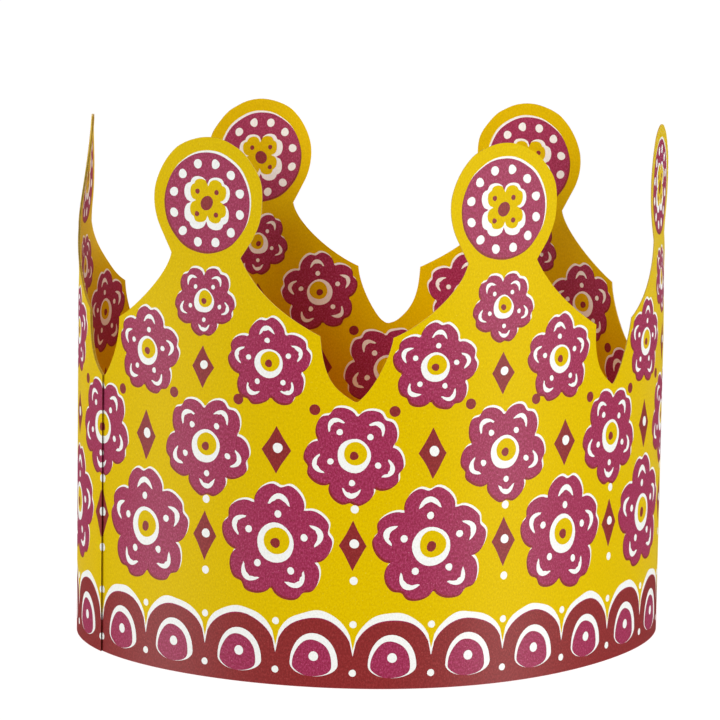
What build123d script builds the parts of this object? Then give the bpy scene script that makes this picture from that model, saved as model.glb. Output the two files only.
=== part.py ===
from build123d import *
import math
import os

os.makedirs("parts", exist_ok=True)

# ---------------------------------------------------------------- dimensions
# All in millimetres. The ring stands on z = 0, +Z is up, the front is -Y.

unit_len = 99.5          # one repeat of the strip, notch to notch
ring_units = 6           # repeats that close the ring
strip_units = 7          # repeats in the strip; the last one lies behind the first
paper_t = 0.3            # heavy paper
lap_gap = 0.2            # air between the two layers of the lap
end_lift = 0.15          # how far the outer free end springs off the layer behind it
end_lift_len = 26.0      # length of strip that springs
step_len = 24.0          # length over which the strip steps out to the lap

notch_turn = -4.78       # front notch, measured along the strip from the front
oval_cos2 = -0.0214      # the ring stands a little out of round:
oval_sin2 = -0.0306      # long towards the lap's end,
oval_cos3 = 0.0143       # slightly three-sided
oval_sin3 = 0.0017
oval_cos4 = 0.0038       # and slightly four-sided
oval_sin4 = 0.0094

notch_z = 91.35          # bottom of a notch
notch_flat = 0.45        # half width of the blunt bottom
shoulder_z = 111.8       # corner between notch and flank
shoulder_l = 10.8        # from the notch's bottom to the corner on its right
shoulder_r = 11.3        # from the notch's bottom to the corner on its left
notch_l_pull = ((5.32, 95.2), (10.42, 105.17))    # bend of the straighter side, right of a notch
notch_r_pull = ((7.45, 95.25), (10.74, 98.95))    # bend of the rounder side, left of a notch

disc_r = 20.05           # round head of a point
disc_z = 151.8           # its centre
disc_x = -1.55           # the head stands a little off the middle of its repeat
neck_l = -14.9           # corners where the head meets the flanks
neck_r = 10.95
neck_z = 134.7
flank_l_pull = ((-29.36, 115.92), (-16.28, 127.26))   # bends of the hollow flanks
flank_r_pull = ((17.18, 123.43), (28.98, 116.39))

# ---------------------------------------------------------------- plan curve
ring_r = unit_len * ring_units / (2 * math.pi)
perimeter = unit_len * ring_units
samples = 2880


def plan_radius(a):
    return (1 + oval_cos2 * math.cos(2 * a) + oval_sin2 * math.sin(2 * a) + oval_cos3 * math.cos(3 * a)
            + oval_sin3 * math.sin(3 * a) + oval_cos4 * math.cos(4 * a) + oval_sin4 * math.sin(4 * a))


raw = []
for i in range(samples + 1):
    a = -math.pi + 2 * math.pi * i / samples
    raw.append((plan_radius(a) * math.sin(a), -plan_radius(a) * math.cos(a)))
run = [0.0]
for (x0, y0), (x1, y1) in zip(raw, raw[1:]):
    run.append(run[-1] + math.hypot(x1 - x0, y1 - y0))
k = perimeter / run[-1]
xs = [p[0] * k for p in raw]
ys = [p[1] * k for p in raw]
mid_x = (max(xs) + min(xs)) / 2      # the plan is centred on its own box
mid_y = (max(ys) + min(ys)) / 2
half = run[samples // 2] * k


def ring_point(s, out=0.0):
    """Point and outward normal of the ring at length s from the front."""
    t = (s + half) % perimeter
    lo, hi = 0, samples
    while hi - lo > 1:
        m = (lo + hi) // 2
        if run[m] * k <= t:
            lo = m
        else:
            hi = m
    f = (t - run[lo] * k) / ((run[hi] - run[lo]) * k)
    x = xs[lo] + f * (xs[hi] - xs[lo]) - mid_x
    y = ys[lo] + f * (ys[hi] - ys[lo]) - mid_y
    # smooth tangent from the samples either side
    i0, i1 = (lo - 4) % samples, (hi + 4) % samples
    tx, ty = xs[i1] - xs[i0], ys[i1] - ys[i0]
    n = math.hypot(tx, ty)
    tx, ty = tx / n, ty / n
    return x + out * ty, y - out * tx, tx, ty


# ---------------------------------------------------------------- strip path
# u runs from the outer free end (at the notch left of the front) away to the
# left, round the back and the right, past the front and on behind the first
# repeat.
seam = notch_turn - unit_len
lap_out = paper_t + lap_gap


def smooth(f):
    f = min(1.0, max(0.0, f))
    return f * f * (3 - 2 * f)


def strip_out(u):
    """How far the middle of the paper stands outside the ring's line."""
    out = lap_out * (1 - smooth((u - unit_len - 2.0) / step_len))
    if u < end_lift_len:
        out += end_lift * (1 - u / end_lift_len) ** 2
    return out


def side(u, offset):
    x, y, _, _ = ring_point(seam - u, strip_out(u) + offset)
    return (x, y)


steps = strip_units * 16
stations = [strip_units * unit_len * i / steps for i in range(steps + 1)]
outer = [side(u, paper_t / 2) for u in stations]
inner = [side(u, -paper_t / 2) for u in stations]


# ---------------------------------------------------------------- cut outline
def arc3(p0, p1, p2, n):
    """n + 1 points on the circle through three points, p0 to p2."""
    ax, ay = p0
    bx, by = p1
    cx, cy = p2
    d = 2 * (ax * (by - cy) + bx * (cy - ay) + cx * (ay - by))
    ux = ((ax * ax + ay * ay) * (by - cy) + (bx * bx + by * by) * (cy - ay) + (cx * cx + cy * cy) * (ay - by)) / d
    uy = ((ax * ax + ay * ay) * (cx - bx) + (bx * bx + by * by) * (ax - cx) + (cx * cx + cy * cy) * (bx - ax)) / d
    r = math.hypot(ax - ux, ay - uy)
    a0 = math.atan2(ay - uy, ax - ux)
    a1 = math.atan2(by - uy, bx - ux)
    a2 = math.atan2(cy - uy, cx - ux)
    turn = (a2 - a0) % (2 * math.pi)
    if (a1 - a0) % (2 * math.pi) > turn:
        turn -= 2 * math.pi
    return [(ux + r * math.cos(a0 + turn * i / n), uy + r * math.sin(a0 + turn * i / n)) for i in range(n + 1)]


def bend(p0, pull, p3, n):
    """n + 1 points on the cubic curve from p0 to p3, drawn towards two pull points."""
    (ax, az), (bx, bz) = pull
    out = []
    for i in range(n + 1):
        t = i / n
        w = ((1 - t) ** 3, 3 * (1 - t) ** 2 * t, 3 * (1 - t) * t * t, t ** 3)
        out.append((w[0] * p0[0] + w[1] * ax + w[2] * bx + w[3] * p3[0], w[0] * p0[1] + w[1] * az + w[2] * bz + w[3] * p3[1]))
    return out


h = unit_len / 2
left_bottom = (-h + notch_flat, notch_z)
left_corner = (-h + shoulder_l, shoulder_z)
right_corner = (h - shoulder_r, shoulder_z)
right_bottom = (h - notch_flat, notch_z)


def touch(neck_x, side):
    """Where the straight side from a neck corner runs into the round head."""
    dx, dz = neck_x - disc_x, neck_z - disc_z
    turn = math.acos(disc_r / math.hypot(dx, dz)) * side
    a = math.atan2(dz, dx) + turn
    return (disc_x + disc_r * math.cos(a), disc_z + disc_r * math.sin(a))


left_neck = (neck_l, neck_z)
right_neck = (neck_r, neck_z)
head_l = touch(neck_l, -1)
head_r = touch(neck_r, 1)

from_notch = [(-h + x, z) for x, z in notch_l_pull]
to_notch = [(h - x, z) for x, z in notch_r_pull[::-1]]
notch_l = bend(left_bottom, from_notch, left_corner, 8)
flank_l = bend(left_corner, flank_l_pull, left_neck, 8)
head = arc3(head_l, (disc_x, disc_z + disc_r), head_r, 28)
flank_r = bend(right_neck, flank_r_pull, right_corner, 8)
notch_r = bend(right_corner, to_notch, right_bottom, 8)
strip_h = disc_z + disc_r
clear_h = strip_h + 12.0

# ---------------------------------------------------------------- the strip
with BuildPart() as crown_strip:
    # the whole strip at full height, rolled up with its lap
    with BuildSketch(Plane.XY):
        with BuildLine():
            Spline(*outer)
            Line(outer[-1], inner[-1])
            Spline(*inner[::-1])
            Line(inner[0], outer[0])
        make_face()
    extrude(amount=strip_h + 4.0)

    # one cut for each repeat of the ring takes away what is above the outline
    for unit in range(ring_units):
        centre = notch_turn + (unit + 0.5) * unit_len
        ox, oy, tx, ty = ring_point(centre)
        nx, ny = ty, -tx

        def across(p):
            x, y, _, _ = ring_point(centre + p[0])
            return ((x - ox) * tx + (y - oy) * ty, p[1])

        face_plane = Plane(origin=(ox + 10 * nx, oy + 10 * ny, 0), x_dir=(tx, ty, 0), z_dir=(nx, ny, 0))
        with BuildSketch(face_plane):
            with BuildLine():
                low_l = across((-h - notch_flat, notch_z))
                low_r = across((h + notch_flat, notch_z))
                past_l = across((-h - 2.2, notch_z + 3.6))
                past_r = across((h + 2.2, notch_z + 3.6))
                Polyline((past_l[0], clear_h), past_l, low_l, across(left_bottom))
                Spline(*[across(p) for p in notch_l])
                Spline(*[across(p) for p in flank_l])
                Line(across(left_neck), across(head_l))
                Spline(*[across(p) for p in head])
                Line(across(head_r), across(right_neck))
                Spline(*[across(p) for p in flank_r])
                Spline(*[across(p) for p in notch_r])
                Polyline(across(right_bottom), low_r, past_r, (past_r[0], clear_h), (past_l[0], clear_h))
            make_face()
        extrude(amount=-48.0, mode=Mode.SUBTRACT)

crown_strip.part.label = "crown_strip"
export_step(crown_strip.part, "parts/crown_strip.step")
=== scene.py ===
import math
import bpy
import numpy as np
from mathutils import Matrix, Vector
from mathutils.geometry import delaunay_2d_cdt


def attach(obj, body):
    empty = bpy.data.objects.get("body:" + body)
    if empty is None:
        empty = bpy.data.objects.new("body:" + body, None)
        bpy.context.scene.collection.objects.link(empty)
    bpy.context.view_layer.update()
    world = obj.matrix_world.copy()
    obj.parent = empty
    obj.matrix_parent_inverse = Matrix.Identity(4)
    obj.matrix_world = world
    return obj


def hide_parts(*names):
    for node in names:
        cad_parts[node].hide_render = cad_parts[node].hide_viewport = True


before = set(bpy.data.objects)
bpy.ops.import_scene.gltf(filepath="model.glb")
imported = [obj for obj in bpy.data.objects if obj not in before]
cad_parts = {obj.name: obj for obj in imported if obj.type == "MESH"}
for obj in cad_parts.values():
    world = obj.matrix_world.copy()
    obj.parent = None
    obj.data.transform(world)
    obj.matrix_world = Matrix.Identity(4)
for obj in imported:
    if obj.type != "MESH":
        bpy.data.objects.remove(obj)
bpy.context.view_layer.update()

MM = 0.001

# ------------------------------------------------------------------ the strip
# The same numbers as the CAD strip, in millimetres.
UNIT = 99.5
RING_UNITS = 6
STRIP_UNITS = 7
PAPER = 0.3
LAP_GAP = 0.2
END_LIFT = 0.15
END_LIFT_LEN = 26.0
STEP_LEN = 24.0
NOTCH_TURN = -4.78
OVAL = ((2, -0.0214, -0.0306), (3, 0.0143, 0.0017), (4, 0.0038, 0.0094))
NOTCH_Z, NOTCH_FLAT = 91.35, 0.45
SHOULDER_Z, SHOULDER_L, SHOULDER_R = 111.8, 10.8, 11.3
NOTCH_L_PULL = ((5.32, 95.2), (10.42, 105.17))
NOTCH_R_PULL = ((7.45, 95.25), (10.74, 98.95))
DISC_R, DISC_Z, DISC_X = 20.05, 151.8, -1.55
NECK_L, NECK_R, NECK_Z = -14.9, 10.95, 134.7
FLANK_L_PULL = ((-29.36, 115.92), (-16.28, 127.26))
FLANK_R_PULL = ((17.18, 123.43), (28.98, 116.39))
# the knife wanders a little round a head: angle in degrees, out or in from the circle
HEAD_CUT = ((-60, -0.3), (-36, -0.32), (-24, -0.18), (-12, -0.2), (0, -0.28), (8, -0.04), (18, 0.34), (24, 0.42),
            (30, 0.24), (38, 0.0), (54, 0.12), (63, -0.12), (72, 0.0), (93, 0.04), (108, 0.0), (118, 0.16), (126, 0.34),
            (134, 0.18), (150, 0.08), (162, 0.15), (170, 0.28), (182, 0.22), (196, 0.08), (210, 0.0), (225, -0.1))
H = UNIT / 2
TOP = DISC_Z + DISC_R
SEAM = NOTCH_TURN - UNIT
LAP_OUT = PAPER + LAP_GAP
PERIM = UNIT * RING_UNITS

N = 5760
ang = np.linspace(-math.pi, math.pi, N + 1)
rad = 1 + sum(c * np.cos(n * ang) + s * np.sin(n * ang) for n, c, s in OVAL)
PX, PY = rad * np.sin(ang), -rad * np.cos(ang)
PS = np.concatenate([[0], np.cumsum(np.hypot(np.diff(PX), np.diff(PY)))])
k = PERIM / PS[-1]
PX, PY, PS = PX * k, PY * k, PS * k
PS = PS - PS[N // 2]
MID_X, MID_Y = (PX.max() + PX.min()) / 2, (PY.max() + PY.min()) / 2
PX, PY = PX - MID_X, PY - MID_Y
TX = np.gradient(PX, PS)
TY = np.gradient(PY, PS)
TX[0] = TX[-1] = (TX[1] + TX[-2]) / 2
TY[0] = TY[-1] = (TY[1] + TY[-2]) / 2
_l = np.hypot(TX, TY)
TX, TY = TX / _l, TY / _l


def ring(s, out):
    """Plan point and tangent at length s from the front, out from the ring's line."""
    t = (np.asarray(s, float) - PS[0]) % PERIM + PS[0]
    x, y = np.interp(t, PS, PX), np.interp(t, PS, PY)
    tx, ty = np.interp(t, PS, TX), np.interp(t, PS, TY)
    return x + out * ty, y - out * tx, tx, ty


def smooth(f):
    f = np.clip(f, 0, 1)
    return f * f * (3 - 2 * f)


def strip_out(u):
    """How far the middle of the paper stands outside the ring's line."""
    out = LAP_OUT * (1 - smooth((u - UNIT - 2.0) / STEP_LEN))
    return out + np.where(u < END_LIFT_LEN, END_LIFT * (1 - u / END_LIFT_LEN) ** 2, 0.0)


# The free points relax: above the notches each one is flatter than the ring.
# Per point, front right and on round to the right: set in at the middle,
# leaning in at the tip, twist in degrees, more twist per millimetre above the
# neck, heights where it starts and is flat, curl across the head.
STANCE = np.array([
    (1.1, 0.2, 1.6, 0.0, 99.0, 152.0, 0.1),
    (2.04, -0.14, -2.75, 0.0, 99.0, 152.3, 0.0),
    (1.2, 0.6, -0.4, -0.02, 121.0, 152.0, 0.15),
    (1.0, 0.2, 0.6, 0.01, 121.0, 152.0, 0.1),
    (-1.09, 4.3, 1.53, 0.229, 118.05, 139.1, 0.669),
    (1.2, 1.2, 0.6, 0.0, 99.0, 152.0, 0.1)])


def mid_sheet(u, z, unit):
    """Middle of the rolled paper at strip length u and height z."""
    s = SEAM - u
    out = strip_out(u)
    cx, cy, _, _ = ring(s, out)
    centre = NOTCH_TURN + (unit + 0.5) * UNIT
    ox, oy, tx, ty = ring(centre, out)
    inset, lean, twist, more, za, zb, curl = STANCE[unit % RING_UNITS].T
    x = (s - centre + PERIM / 2) % PERIM - PERIM / 2
    a = np.radians(twist + more * np.clip(z - 134, 0, None))
    ca, sa = np.cos(a), np.sin(a)
    d = inset + curl * (x / 20) ** 2
    fx = ox + (tx * ca - ty * sa) * x - ty * d
    fy = oy + (tx * sa + ty * ca) * x + tx * d
    f = smooth((z - za) / (zb - za))
    tip = lean * np.clip((z - 112) / 60, 0, None) ** 1.5
    # the back notch is cut a little rounder than the rest
    off = (s - NOTCH_TURN - 3 * UNIT + PERIM / 2) % PERIM - PERIM / 2
    z = z + 0.9 * (np.exp(-(off / 2.0) ** 2) - np.exp(-(off / 6.0) ** 2)) * smooth((z - 80) / 11)
    return np.stack([(1 - f) * cx + f * fx - ty * tip, (1 - f) * cy + f * fy + tx * tip, z], 1)


# ---------------------------------------------------------------- cut outline
def arc3(p0, p1, p2, n):
    (ax, ay), (bx, by), (cx, cy) = p0, p1, p2
    d = 2 * (ax * (by - cy) + bx * (cy - ay) + cx * (ay - by))
    ux = ((ax * ax + ay * ay) * (by - cy) + (bx * bx + by * by) * (cy - ay) + (cx * cx + cy * cy) * (ay - by)) / d
    uy = ((ax * ax + ay * ay) * (cx - bx) + (bx * bx + by * by) * (ax - cx) + (cx * cx + cy * cy) * (bx - ax)) / d
    r = math.hypot(ax - ux, ay - uy)
    a0, a1, a2 = (math.atan2(y - uy, x - ux) for x, y in (p0, p1, p2))
    turn = (a2 - a0) % (2 * math.pi)
    if (a1 - a0) % (2 * math.pi) > turn:
        turn -= 2 * math.pi
    return [(ux + r * math.cos(a0 + turn * i / n), uy + r * math.sin(a0 + turn * i / n)) for i in range(n + 1)]


def bend(p0, pull, p3, n):
    """n + 1 points on the cubic curve from p0 to p3, drawn towards two pull points."""
    t = np.linspace(0, 1, n + 1)[:, None]
    p0, p1, p2, p3 = map(np.array, (p0, pull[0], pull[1], p3))
    return list(map(tuple, (1 - t) ** 3 * p0 + 3 * (1 - t) ** 2 * t * p1 + 3 * (1 - t) * t * t * p2 + t ** 3 * p3))


def touch(neck_x, side):
    """Where the straight side from a neck corner runs into the round head."""
    dx, dz = neck_x - DISC_X, NECK_Z - DISC_Z
    a = math.atan2(dz, dx) + math.acos(DISC_R / math.hypot(dx, dz)) * side
    return (DISC_X + DISC_R * math.cos(a), DISC_Z + DISC_R * math.sin(a))


outline = []
outline += [(-H, z) for z in np.linspace(NOTCH_Z, 0, 31)][:-1]
outline += [(x, 0.0) for x in np.linspace(-H, H, 41)][:-1]
outline += [(H, z) for z in np.linspace(0, NOTCH_Z, 31)]
head_l, head_r = touch(NECK_L, -1), touch(NECK_R, 1)
from_notch = [(-H + x, z) for x, z in NOTCH_L_PULL]
to_notch = [(H - x, z) for x, z in NOTCH_R_PULL[::-1]]
top = bend((-H + NOTCH_FLAT, NOTCH_Z), from_notch, (-H + SHOULDER_L, SHOULDER_Z), 22)
top += bend((-H + SHOULDER_L, SHOULDER_Z), FLANK_L_PULL, (NECK_L, NECK_Z), 26)[1:]
top += [((NECK_L + head_l[0]) / 2, (NECK_Z + head_l[1]) / 2)]
round_head = np.array(arc3(head_l, (DISC_X, TOP), head_r, 120)) - (DISC_X, DISC_Z)
at = np.degrees(np.arctan2(round_head[:, 1], round_head[:, 0])) % 360
at = np.where(at > 270, at - 360, at)
knife = np.interp(at, *np.array(HEAD_CUT).T)
knife = np.convolve(np.pad(knife, 2, mode="edge"), (0.1, 0.24, 0.32, 0.24, 0.1), "valid")
knife *= smooth((at - at.min()) / 9) * smooth((at.max() - at) / 9)
round_head *= (1 + knife / DISC_R)[:, None]
top += list(map(tuple, round_head + (DISC_X, DISC_Z)))
top += [((NECK_R + head_r[0]) / 2, (NECK_Z + head_r[1]) / 2)]
top += bend((NECK_R, NECK_Z), FLANK_R_PULL, (H - SHOULDER_R, SHOULDER_Z), 26)
top += bend((H - SHOULDER_R, SHOULDER_Z), to_notch, (H - NOTCH_FLAT, NOTCH_Z), 22)[1:]
outline += top[::-1]
outline = np.array(outline)


def inside(P, loop):
    """Even-odd test of points P against a closed loop."""
    x, y = P[:, 0], P[:, 1]
    res = np.zeros(len(P), bool)
    box = (x > loop[:, 0].min()) & (x < loop[:, 0].max()) & (y > loop[:, 1].min()) & (y < loop[:, 1].max())
    if not box.any():
        return res
    xx, yy = x[box], y[box]
    r = np.zeros(len(xx), bool)
    for (x0, y0), (x1, y1) in zip(loop, np.roll(loop, -1, axis=0)):
        if y0 == y1:
            continue
        c = (y0 > yy) != (y1 > yy)
        r ^= c & (xx < (x1 - x0) * (yy - y0) / (y1 - y0) + x0)
    res[box] = r
    return res


# ------------------------------------------------------------------ the print
# Two inks on bare paper. Each op sets or clears one ink inside a loop, in
# order; where both inks lie they make the dark red.
rng = np.random.default_rng(11)
SLIP = np.array((-0.45, -0.68))      # the red plate lands a little off the yellow one
ops_y, ops_m = [], []


def wobble(n, amp, waves=(2, 3, 5, 7, 11)):
    a = np.linspace(0, 2 * math.pi, n, endpoint=False)
    w = sum(rng.normal() * np.cos(kk * a + rng.uniform(0, 2 * math.pi)) / math.sqrt(kk) for kk in waves)
    return amp * w


def polar(cx, cz, r, phi):
    return np.stack([cx + r * np.cos(phi), cz + r * np.sin(phi)], 1)


def yellow(loop, on):
    ops_y.append((np.asarray(loop), on))


def red(loop, on):
    ops_m.append((np.asarray(loop) + SLIP, on))


def both_off(loop):
    yellow(loop, False)
    red(np.asarray(loop) - SLIP, False)


def blob(cx, cz, r, n=14, amp=0.05):
    phi = np.linspace(0, 2 * math.pi, n, endpoint=False) + rng.uniform(0, 1)
    return polar(cx, cz, r * (1 + wobble(n, amp, (2, 3))), phi)


def rosette_loop(cx, cz, r, turn, n, petals, waist, dimple, w):
    """Round-petalled flower outline, cut by hand."""
    phi = np.linspace(0, 2 * math.pi, n, endpoint=False)
    d = (phi + math.pi / petals) % (2 * math.pi / petals) - math.pi / petals
    q = np.abs(np.cos(petals / 2 * phi))
    lobe = waist + (1 - waist) * q ** 0.55
    lobe = lobe * (1 - dimple * np.exp(-(d / 0.10) ** 2))
    return polar(cx, cz, r * lobe * (1 + w), phi + turn)


def rosette(places, r, turn, petals=5, waist=0.70):
    """Flower with a white bow in each petal and a yellow eye, the same at each place."""
    n = max(60, int(r * 8))
    w = wobble(n, 0.013)
    bows, drops = [], []
    for q in range(petals):
        c = turn + q * 2 * math.pi / petals + rng.normal() * 0.02
        span = (1.42 / petals) * (1 + rng.uniform(-0.06, 0.06))
        m = 11
        a = np.linspace(-span, span, m)
        ro = r * (0.83 - 0.17 * (a / span) ** 2)
        th = r * 0.098 * np.sqrt(np.clip(1 - (a / span) ** 2, 0, 1)) * (1 + 0.08 * rng.normal(size=m))
        bows.append((np.concatenate([a + c, (a + c)[::-1][1:-1]]), np.concatenate([ro, (ro - th)[::-1][1:-1]])))
        drops.append((c, rng.uniform(0.93, 1.07)))
    n2 = 26
    phi2 = np.linspace(0, 2 * math.pi, n2, endpoint=False)
    eye_w, core_w, dot_w = wobble(n2, 0.03, (2, 3, 5)), wobble(n2, 0.045, (2, 3)), wobble(12, 0.06, (2, 3))
    phi3 = np.linspace(0, 2 * math.pi, 12, endpoint=False)
    drop_w = [wobble(10, 0.06, (2, 3)) for _ in range(petals)]
    phi4 = np.linspace(0, 2 * math.pi, 10, endpoint=False)
    for cx, cz in places:
        hole = rosette_loop(cx, cz, r, turn, n, petals, waist, 0.075, w)
        yellow(hole, False)
        red(hole, True)
        for a, rr in bows:
            red(polar(cx, cz, rr, a), False)
        for (c, f), dw in zip(drops, drop_w):
            red(polar(cx + r * 0.50 * f * math.cos(c), cz + r * 0.50 * f * math.sin(c), r * 0.062 * (1 + dw), phi4), False)
        red(polar(cx, cz, r * 0.325 * (1 + eye_w), phi2), False)
        yellow(polar(cx, cz, r * 0.225 * (1 + core_w), phi2), True)
        red(polar(cx, cz, r * 0.085 * (1 + dot_w), phi3), True)


def lozenge(places, w, h, sides=True, ends=False):
    n = 24
    t = np.linspace(0, 4, n, endpoint=False)
    j = wobble(n, 0.03, (2, 3, 5))
    c = [(w, 0), (0, h), (-w, 0), (0, -h), (w, 0)]
    base = []
    for tt in t:
        q, f = int(tt), tt - int(tt)
        base.append(((1 - f) * c[q][0] + f * c[q + 1][0], (1 - f) * c[q][1] + f * c[q + 1][1]))
    base = np.array(base) * (1 + j)[:, None]
    rr = np.hypot(base[:, 0] / w, base[:, 1] / h)
    base *= (0.86 + 0.14 * rr)[:, None]          # sides drawn in a little
    dot = blob(0, 0, w * 0.34, 14)
    spots = ([(w + 3.0, 0), (-w - 3.0, 0)] if sides else []) + ([(0, h + 2.9), (0, -h - 2.9)] if ends else [])
    pearls = [blob(dx, dz, 1.25, 12) for dx, dz in spots]
    for cx, cz in places:
        red(base + (cx, cz), True)
        both_off(dot + (cx, cz))
        for p in pearls:
            both_off(p + (cx, cz))


# base band: scallops edged in bare paper, an arch in each
n_sc = 4
xs = np.arange(-58, 59) * (UNIT / 100)
period = UNIT / n_sc
arch_at = ((xs + H) / period) % 1.0
arch = np.sqrt(np.clip(1 - (2 * arch_at - 1) ** 2, 0, 1))
hand = 0.20 * np.sin(xs * 2 * math.pi / UNIT * 3 + 0.7) + 0.14 * np.sin(xs * 2 * math.pi / UNIT * 7 + 2.1)
edge = 10.6 + 11.6 * arch + hand
line_t = 2.2 + 0.22 * np.sin(xs * 2 * math.pi / UNIT * 5 + 1.0) + 0.12 * np.sin(xs * 2 * math.pi / UNIT * 11 + 0.3)
band = np.stack([xs, edge], 1)
red(np.concatenate([[(xs[0], -6)], [(xs[-1], -6)], band[::-1]]) - SLIP, True)
yellow(np.concatenate([band + [0, -0.30], np.stack([xs, edge + line_t], 1)[::-1]]), False)
m = 40
pa = np.linspace(0, 2 * math.pi, m, endpoint=False)
arch_w, drop_w = wobble(m, 0.012, (2, 3, 5)), wobble(m, 0.02, (2, 3, 5))
eye = blob(0, 0, 1.55, 16)
tick = blob(0, 0, 1.15, 14)


def arch_loop(wd, ht, w):
    """Upright drop: flat foot, round top."""
    x = wd * np.cos(pa) * (1 + w)
    z = np.where(np.sin(pa) > 0, ht * np.sin(pa), 0.42 * ht * np.sin(pa)) * (1 + w)
    return np.stack([x, z], 1)


for i in range(-1, n_sc + 1):
    cx = -H + (i + 0.5) * period
    both_off(arch_loop(7.7, 9.8, arch_w) + (cx, 7.6))
    hole = arch_loop(6.3, 8.4, drop_w) + (cx, 7.7)
    red(hole, True)
    both_off(eye + (cx, 10.0))
    both_off(tick + (cx - period / 2, 5.0))
    both_off(tick + (cx - period / 2, 20.6))

rosette([(-24.9, 46.2)], 19.2, math.pi / 2 + 0.06)
rosette([(24.9, 46.2)], 19.2, math.pi / 2 - 0.09)
rosette([(0.0, 75.0)], 16.4, -math.pi / 2 + 0.05)
rosette([(-H, 75.0), (H, 75.0)], 16.4, -math.pi / 2 - 0.07)
rosette([(-24.6, 103.0)], 14.4, math.pi / 2 - 0.12)
rosette([(22.0, 103.0)], 14.4, math.pi / 2 + 0.08)
rosette([(-1.4, 121.0)], 11.6, -math.pi / 2 + 0.04)
lozenge([(0.0, 46.4)], 4.4, 8.0, sides=False)
lozenge([(-H, 46.4), (H, 46.4)], 4.4, 8.0, sides=False)
lozenge([(-24.9, 75.8)], 4.8, 7.8, sides=False)
lozenge([(24.9, 75.8)], 4.8, 7.8, sides=False)
lozenge([(-1.3, 100.2)], 4.2, 6.8, sides=False)
pip = blob(0, 0, 1.75, 16)
for cx, cz in ((-12.6, 91.0), (11.8, 91.0), (-37.2, 89.2), (37.2, 89.2), (-H, 95.4), (H, 95.4)):
    red(pip + (cx, cz), True)
pearl = blob(0, 0, 1.3, 14)
for cx, cz in ((0.0, 34.6), (-H, 34.6), (H, 34.6), (0.0, 57.4), (-H, 57.4), (H, 57.4)):
    both_off(pearl + (cx, cz))

# roundel in the head of each point
n = 84
phi = np.linspace(0, 2 * math.pi, n, endpoint=False)
disc = polar(DISC_X, DISC_Z, 15.9 * (1 + wobble(n, 0.006)), phi)
yellow(disc, False)
red(disc, True)
for i in range(12):
    a = 2 * math.pi * (i + 0.5) / 12 + 0.03
    red(blob(DISC_X + 12.7 * math.cos(a), DISC_Z + 12.7 * math.sin(a), 1.5, 14), False)
core_w = wobble(64, 0.015)
red(rosette_loop(DISC_X, DISC_Z, 9.7, math.pi / 4, 64, 4, 0.60, 0.08, core_w), False)
yellow(rosette_loop(DISC_X, DISC_Z, 7.9, math.pi / 4, 64, 4, 0.58, 0.08, wobble(64, 0.015)), True)
red(blob(DISC_X, DISC_Z, 2.3, 18), True)
for q in range(4):
    a = math.pi / 4 + q * math.pi / 2
    red(blob(DISC_X + 5.0 * math.cos(a), DISC_Z + 5.0 * math.sin(a), 0.85, 12), True)

# ------------------------------------------------------- flat mesh of one unit
verts, edges = [], []


def add_loop(loop):
    i0 = len(verts)
    m = len(loop)
    verts.extend(map(tuple, loop))
    edges.extend((i0 + i, i0 + (i + 1) % m) for i in range(m))


add_loop(outline)
for loop, _ in ops_y + ops_m:
    add_loop(loop)
fixed = np.array(verts)
grid = []
row = 0
g = 3.6
z = g / 2
while z < TOP:
    for x in np.arange(-H + (g / 2 if row % 2 else g), H - 0.5, g):
        grid.append((x, z))
    z += g * 0.866
    row += 1
grid = np.array(grid)
grid = grid[inside(grid, outline)]
cell = {}
for i, (x, y) in enumerate(fixed):
    cell.setdefault((int(x // 2), int(y // 2)), []).append(i)


def near(p, d):
    cx, cy = int(p[0] // 2), int(p[1] // 2)
    for a in (-1, 0, 1):
        for b in (-1, 0, 1):
            for i in cell.get((cx + a, cy + b), ()):
                if (fixed[i, 0] - p[0]) ** 2 + (fixed[i, 1] - p[1]) ** 2 < d * d:
                    return True
    return False


verts.extend(tuple(p) for p in grid if not near(p, 1.1))
cv, ce, cf, _, _, _ = delaunay_2d_cdt([Vector(v) for v in verts], edges, [], 0, 1e-4, False)
V = np.array([tuple(v) for v in cv])
F = np.array([f for f in cf])
C = V[F].mean(1)
F = F[inside(C, outline)]
a, b, c = V[F[:, 0]], V[F[:, 1]], V[F[:, 2]]
area = 0.5 * ((b - a)[:, 0] * (c - a)[:, 1] - (b - a)[:, 1] * (c - a)[:, 0])
F = np.where((area < 0)[:, None], F[:, ::-1], F)
F = F[np.abs(area) > 1e-7]
area = np.abs(area[np.abs(area) > 1e-7])
C = V[F].mean(1)
Y = np.ones(len(F), bool)
M = np.zeros(len(F), bool)
for loop, on in ops_y:
    Y[inside(C, loop)] = on
for loop, on in ops_m:
    M[inside(C, loop)] = on
MAT = np.where(Y & M, 2, np.where(M, 1, np.where(Y, 0, 3)))
used = np.unique(F)
remap = -np.ones(len(V), int)
remap[used] = np.arange(len(used))
V, F = V[used], remap[F]
print("flat unit", len(V), "points", len(F), "faces; yellow, magenta, dark red, bare:",
      (np.bincount(MAT, weights=area) / area.sum()).round(3), "area", area.sum().round(1))

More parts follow.
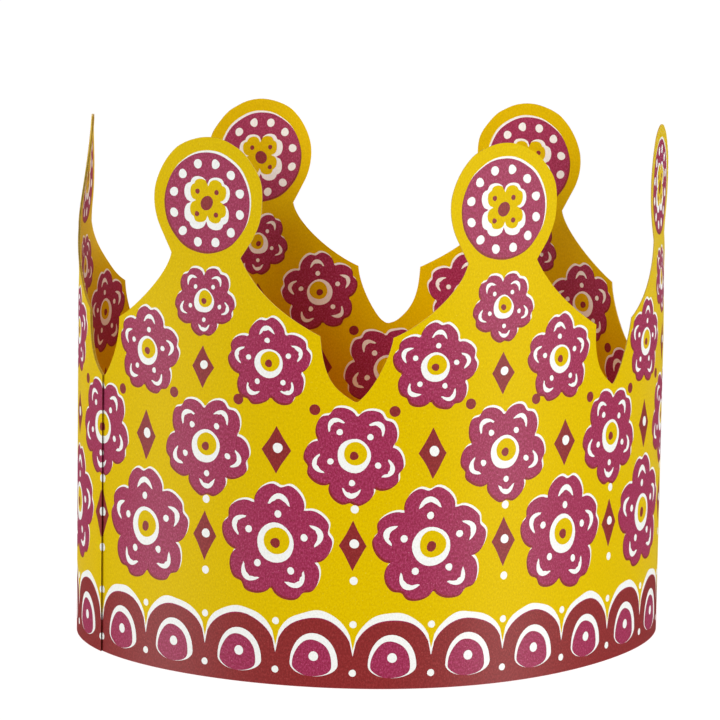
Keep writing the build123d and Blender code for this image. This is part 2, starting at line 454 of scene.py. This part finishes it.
# --------------------------------------------------------- rolled-up strip mesh
on_l = np.where(np.abs(V[:, 0] + H) < 1e-3)[0]
on_r = np.where(np.abs(V[:, 0] - H) < 1e-3)[0]
on_l = on_l[np.argsort(V[on_l, 1])]
on_r = on_r[np.argsort(V[on_r, 1])]
assert len(on_l) == len(on_r) and np.abs(V[on_l, 1] - V[on_r, 1]).max() < 2e-3, "the repeats do not meet"
nv = len(V)
ids = np.zeros((STRIP_UNITS, nv), int)
flat_u, flat_x, flat_z, flat_k = [], [], [], []
count = 0
for kk in range(STRIP_UNITS):
    own = np.ones(nv, bool)
    if kk:
        own[on_r] = False
        ids[kk, on_r] = ids[kk - 1, on_l]
    ids[kk, own] = count + np.arange(own.sum())
    count += own.sum()
    flat_u.append((kk + 0.5) * UNIT - V[own, 0])
    flat_x.append(V[own, 0])
    flat_z.append(V[own, 1])
    flat_k.append(np.full(own.sum(), kk))
flat_u, flat_x, flat_z, flat_k = map(np.concatenate, (flat_u, flat_x, flat_z, flat_k))
faces_one = np.concatenate([ids[kk][F] for kk in range(STRIP_UNITS)])
mats_one = np.tile(MAT, STRIP_UNITS)
uv_one = np.tile(V[F], (STRIP_UNITS, 1, 1))

unit_of = (RING_UNITS - 2 - flat_k) % RING_UNITS      # the first repeat is the left point
eps = 0.05
mid = mid_sheet(flat_u, flat_z, unit_of)
along = mid_sheet(flat_u - eps, flat_z, unit_of) - mid_sheet(flat_u + eps, flat_z, unit_of)
upward = mid_sheet(flat_u, flat_z + eps, unit_of) - mid_sheet(flat_u, flat_z - eps, unit_of)
normals = np.cross(along, upward)
normals /= np.linalg.norm(normals, axis=1)[:, None]
outer = mid + normals * (PAPER / 2)
inner = mid - normals * (PAPER / 2)
assert np.isfinite(outer).all() and np.isfinite(inner).all()

# rim: edges that only one face uses
e = np.concatenate([faces_one[:, [0, 1]], faces_one[:, [1, 2]], faces_one[:, [2, 0]]])
key = np.sort(e, axis=1)
_, first, cnt = np.unique(key, axis=0, return_index=True, return_counts=True)
rim = e[first[cnt == 1]]
free_end = (flat_u[rim] < 1e-3).all(1)

P = np.concatenate([outer, inner]) * MM
polys = [tuple(f) for f in faces_one]
polys += [tuple(f[::-1] + count) for f in faces_one]
polys += [(b_, a_, a_ + count, b_ + count) for a_, b_ in rim]
me = bpy.data.meshes.new("crown_paper")
me.from_pydata([tuple(p) for p in P], [], polys)
me.update()
# slot 5 on the free end's rim is painted shade: a near-black brown standing for the dark gap where the end laps over
# the paper beneath
mat_index = np.concatenate([mats_one, mats_one, np.where(free_end, 5, 4)])
me.polygons.foreach_set("material_index", mat_index.astype(np.int32))
me.polygons.foreach_set("use_smooth", np.ones(len(polys), bool))

# maps: "print" is the flat repeat in decimetres, "OFBake" keeps each ink apart
uv_in = uv_one[:, ::-1, :]
flat_rim = []
for a_, b_ in rim:
    flat_rim.append([(flat_x[b_], flat_z[b_]), (flat_x[a_], flat_z[a_]), (flat_x[a_], flat_z[a_]), (flat_x[b_], flat_z[b_])])
flat_rim = np.array(flat_rim)
p_out = (uv_one + [H, 0]) / 100.0
p_in = (uv_in + [H, 0]) / 100.0 + [2.0, 0]
p_rim = (flat_rim + [H, 0]) / 100.0 + [4.0, 0]
uv_print = np.concatenate([p_out.reshape(-1, 2), p_in.reshape(-1, 2), p_rim.reshape(-1, 2)])
lay = me.uv_layers.new(name="print")
lay.data.foreach_set("uv", uv_print.astype(np.float32).ravel())


def tile(uv, mats, side):
    """Each ink has its own tile, four across, outside below and inside above."""
    w = uv / np.array([UNIT, TOP + 1.0])
    w = w * [0.244, 0.455] + 0.003
    return w + np.stack([mats * 0.25, np.full(len(mats), side * 0.47)], 1)[:, None, :]


b_out = tile(uv_one + [H, 0], mats_one, 0)
b_in = tile(uv_in + [H, 0], mats_one, 1)
t = np.linspace(0, 1, len(rim) + 1)
b_rim = np.stack([np.stack([t[:-1], np.full(len(rim), 0.96)], 1), np.stack([t[1:], np.full(len(rim), 0.96)], 1),
                  np.stack([t[1:], np.full(len(rim), 0.99)], 1), np.stack([t[:-1], np.full(len(rim), 0.99)], 1)], 1)
b_rim = b_rim * [0.99, 1] + [0.005, 0]
uv_bake = np.concatenate([b_out.reshape(-1, 2), b_in.reshape(-1, 2), b_rim.reshape(-1, 2)])
lay = me.uv_layers.new(name="OFBake")
lay.data.foreach_set("uv", uv_bake.astype(np.float32).ravel())
me.uv_layers["print"].active_render = True
me.uv_layers.active = me.uv_layers["print"]

# normals: the true ones of the rolled sheet, flat across the cut edges
n_out = normals[faces_one].reshape(-1, 3)
n_in = -normals[faces_one[:, ::-1]].reshape(-1, 3)
n_rim = []
for a_, b_ in rim:
    d = outer[a_] - outer[b_]
    n_ = np.cross(d, inner[a_] - outer[a_])
    n_ = n_ / (np.linalg.norm(n_) or 1)
    n_rim += [n_] * 4
me.normals_split_custom_set([tuple(v) for v in np.concatenate([n_out, n_in, np.array(n_rim)])])
print("strip", len(me.polygons), "faces", sum(len(p.vertices) - 2 for p in me.polygons), "triangles")

crown = bpy.data.objects.new("crown_paper", me)
bpy.context.scene.collection.objects.link(crown)
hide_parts("crown_strip")
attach(crown, "root")


# ------------------------------------------------------------------ materials
def srgb(r, g_, b_):
    return tuple((v / 12.92 if v <= 0.04045 else ((v + 0.055) / 1.055) ** 2.4) for v in (r / 255, g_ / 255, b_ / 255)) + (1.0,)


def ink(name, dark, col, light, fleck, flecks=0.5, rough=0.52, gloss=0.38, tint=(1, 1, 1, 1)):
    """Ink on uncoated paper: fine grain, upright fibres, pale flecks, paper tooth."""
    m = bpy.data.materials.new(name)
    m.use_nodes = True
    nt = m.node_tree
    bsdf = nt.nodes["Principled BSDF"]
    uv = nt.nodes.new("ShaderNodeUVMap")
    uv.uv_map = "print"

    def noise(scale, detail, rough_, stretch):
        mp = nt.nodes.new("ShaderNodeMapping")
        mp.inputs["Scale"].default_value = stretch
        nt.links.new(uv.outputs["UV"], mp.inputs["Vector"])
        nd = nt.nodes.new("ShaderNodeTexNoise")
        nd.inputs["Scale"].default_value = scale
        nd.inputs["Detail"].default_value = detail
        nd.inputs["Roughness"].default_value = rough_
        nt.links.new(mp.outputs["Vector"], nd.inputs["Vector"])
        return nd

    grain = noise(150.0, 2.0, 0.72, (1.25, 0.8, 1.0))
    ramp = nt.nodes.new("ShaderNodeValToRGB")
    ramp.color_ramp.elements[0].position = 0.30
    ramp.color_ramp.elements[0].color = dark
    ramp.color_ramp.elements[1].position = 0.70
    ramp.color_ramp.elements[1].color = light
    middle = ramp.color_ramp.elements.new(0.5)
    middle.color = col
    nt.links.new(grain.outputs["Fac"], ramp.inputs["Fac"])
    speck = noise(230.0, 1.0, 0.5, (1.0, 1.0, 1.0))
    pick = nt.nodes.new("ShaderNodeValToRGB")
    pick.color_ramp.elements[0].position = 0.66
    pick.color_ramp.elements[0].color = (0, 0, 0, 1)
    pick.color_ramp.elements[1].position = 0.78
    pick.color_ramp.elements[1].color = (flecks, flecks, flecks, 1)
    nt.links.new(speck.outputs["Fac"], pick.inputs["Fac"])
    mix = nt.nodes.new("ShaderNodeMix")
    mix.data_type = "RGBA"
    nt.links.new(pick.outputs["Color"], mix.inputs[0])
    nt.links.new(ramp.outputs["Color"], mix.inputs[6])
    mix.inputs[7].default_value = fleck
    nt.links.new(mix.outputs[2], bsdf.inputs["Base Color"])
    bsdf.inputs["Roughness"].default_value = rough
    bsdf.inputs["Specular IOR Level"].default_value = gloss
    bsdf.inputs["Specular Tint"].default_value = tint
    tooth = noise(240.0, 3.0, 0.65, (1.0, 0.75, 1.0))
    bump = nt.nodes.new("ShaderNodeBump")
    bump.inputs["Strength"].default_value = 0.07
    bump.inputs["Distance"].default_value = 0.0002
    nt.links.new(tooth.outputs["Fac"], bump.inputs["Height"])
    nt.links.new(bump.outputs["Normal"], bsdf.inputs["Normal"])
    return m


me.materials.append(ink("yellow_ink", srgb(207, 172, 0), srgb(217, 183, 0), srgb(226, 194, 2), srgb(238, 214, 76), 0.55, gloss=0.08, tint=(1.0, 1.0, 0.35, 1)))
me.materials.append(ink("magenta_ink", srgb(131, 34, 57), srgb(154, 43, 80), srgb(179, 67, 107), srgb(206, 124, 150), 0.8, gloss=0.20))
me.materials.append(ink("dark_red_ink", srgb(118, 38, 38), srgb(136, 40, 40), srgb(153, 56, 56), srgb(177, 94, 86), 0.5, gloss=0.20))
me.materials.append(ink("bare_paper", srgb(230, 231, 226), srgb(240, 241, 236), srgb(246, 246, 243), srgb(250, 250, 248), 0.5, gloss=0.2))
me.materials.append(ink("cut_edge", srgb(176, 148, 54), srgb(192, 164, 70), srgb(206, 182, 94), srgb(220, 200, 126), 0.5, gloss=0.1))
# painted shade: the free end's cut edge is coloured near-black brown to stand for the shadowed gap under the lap, not
# the paper's own edge colour
me.materials.append(ink("free_end_painted_shade", srgb(58, 14, 6), srgb(70, 18, 8), srgb(82, 24, 12), srgb(96, 40, 22), 0.3, gloss=0.04))

# ------------------------------------------------------------- floor and light
def floor_piece(name, points, loops):
    fm = bpy.data.meshes.new(name)
    fm.from_pydata(points, [], loops)
    o = bpy.data.objects.new(name, fm)
    bpy.context.scene.collection.objects.link(o)
    return o


# one pale table top in two pieces that meet under the paper: around the ring and inside it
n = 180
foot = np.stack(ring(np.arange(n) * PERIM / n, 0.0)[:2], 1) * MM
far = foot / np.linalg.norm(foot, axis=1)[:, None] * 30
points = [(x, y, 0.0) for x, y in np.concatenate([foot, far])]
floor = floor_piece("floor", points, [(i, n + i, n + (i + 1) % n, (i + 1) % n) for i in range(n)])
floor_in = floor_piece("floor_inside", points[:n], [tuple(range(n))])
mf = bpy.data.materials.new("floor_white")
mf.use_nodes = True
nt = mf.node_tree
tc = nt.nodes.new("ShaderNodeTexCoord")
nz = nt.nodes.new("ShaderNodeTexNoise")
nz.inputs["Scale"].default_value = 3.0
rp = nt.nodes.new("ShaderNodeValToRGB")
rp.color_ramp.elements[0].color = (0.90, 0.90, 0.90, 1)
rp.color_ramp.elements[1].color = (0.92, 0.92, 0.92, 1)
nt.links.new(tc.outputs["Object"], nz.inputs["Vector"])
nt.links.new(nz.outputs["Fac"], rp.inputs["Fac"])
nt.links.new(rp.outputs["Color"], nt.nodes["Principled BSDF"].inputs["Base Color"])
nt.nodes["Principled BSDF"].inputs["Roughness"].default_value = 0.95
nt.nodes["Principled BSDF"].inputs["Specular IOR Level"].default_value = 0.0
floor.data.materials.append(mf)
floor_in.data.materials.append(mf)
for o in (floor, floor_in):                # the crown is lit by the lamps alone
    o.visible_diffuse = o.visible_glossy = False

scene = bpy.context.scene
world = bpy.data.worlds.new("studio")
world.use_nodes = True
world.node_tree.nodes["Background"].inputs["Color"].default_value = (1, 1, 1, 1)
world.node_tree.nodes["Background"].inputs["Strength"].default_value = 0.09
scene.world = world


def lit_set(name, piece):
    c = bpy.data.collections.new(name)
    c.objects.link(piece)
    return c


crown_set, floor_set, inside_set = lit_set("lit_crown", crown), lit_set("lit_floor", floor), lit_set("lit_inside", floor_in)


def sun(name, azimuth, elevation, energy, spread, on, shadow_of, color=(1, 1, 1), glint=True):
    """Broad soft light from a compass direction: 0 is the front, 90 the right."""
    d = bpy.data.lights.new(name, "SUN")
    d.energy = energy
    d.color = color
    d.angle = math.radians(spread)
    o = bpy.data.objects.new(name, d)
    a, el = math.radians(azimuth), math.radians(elevation)
    o.rotation_euler = Vector((-math.sin(a) * math.cos(el), math.cos(a) * math.cos(el), -math.sin(el))).to_track_quat("-Z", "Y").to_euler()
    scene.collection.objects.link(o)
    o.light_linking.receiver_collection = on
    o.light_linking.blocker_collection = shadow_of
    o.visible_glossy = glint


sun("key_right", 63, -8, 2.42, 24, crown_set, crown_set)
sun("key_left", -80, -8, 1.92, 28, crown_set, crown_set)
sun("key_front", -8, 9, 1.66, 14, crown_set, crown_set, glint=False)
sun("back_right", 150, 8, 1.75, 40, crown_set, crown_set, glint=False)
sun("back_left", -150, 8, 1.75, 40, crown_set, crown_set, glint=False)
sun("floor_wash", 0, 80, 3.3, 60, floor_set, floor_set)
sun("floor_wash_inside", 0, 80, 2.0, 60, inside_set, floor_set, (0.90, 1.0, 0.93))


def lamp(name, size, energy, color, place, turn):
    """Round soft lamp; unturned it faces down."""
    d = bpy.data.lights.new(name, "AREA")
    d.shape = "DISK"
    d.size = size
    d.energy = energy
    d.color = color
    o = bpy.data.objects.new(name, d)
    o.location = place
    o.rotation_euler = turn
    o.visible_camera = o.visible_glossy = False
    scene.collection.objects.link(o)
    o.light_linking.receiver_collection = crown_set
    o.light_linking.blocker_collection = crown_set


lamp("top_light", 0.28, 4.3, (1.0, 0.70, 0.54), (0, 0.098, 0.95), (0, 0, 0))
# light thrown back up by the table top inside the ring, warm from the paper round it
lamp("table_bounce", 0.13, 0.062, (1.0, 0.30, 0.08), (0, 0, 0.004), (math.pi, 0, 0))
scene.view_settings.view_transform = "Standard"

# --------------------------------------------------------------------- camera
F_PX = 3945.7
tau, roll = math.radians(8.2043), math.radians(0.8893)
yaw = math.atan(12.38 / F_PX)
fwd = Vector((0, math.cos(tau), -math.sin(tau)))
up0 = Vector((0, math.sin(tau), math.cos(tau)))
right0 = Vector((1, 0, 0))
right = (math.cos(roll) * right0 + math.sin(roll) * up0)
up = (-math.sin(roll) * right0 + math.cos(roll) * up0)
fwd2 = (fwd * math.cos(yaw) - right * math.sin(yaw)).normalized()
right2 = (right * math.cos(yaw) + fwd * math.sin(yaw)).normalized()
cam = bpy.data.cameras.new("camera")
cam.sensor_width = 36.0
cam.lens = F_PX / 720 * 36
cam.clip_end = 100
co = bpy.data.objects.new("camera", cam)
m = Matrix((right2, up, -fwd2)).transposed().to_4x4()
m.translation = Vector(((0 - MID_X) * MM, (-1309.3 - MID_Y) * MM, 279.81 * MM))
co.matrix_world = m
scene.collection.objects.link(co)
scene.camera = co
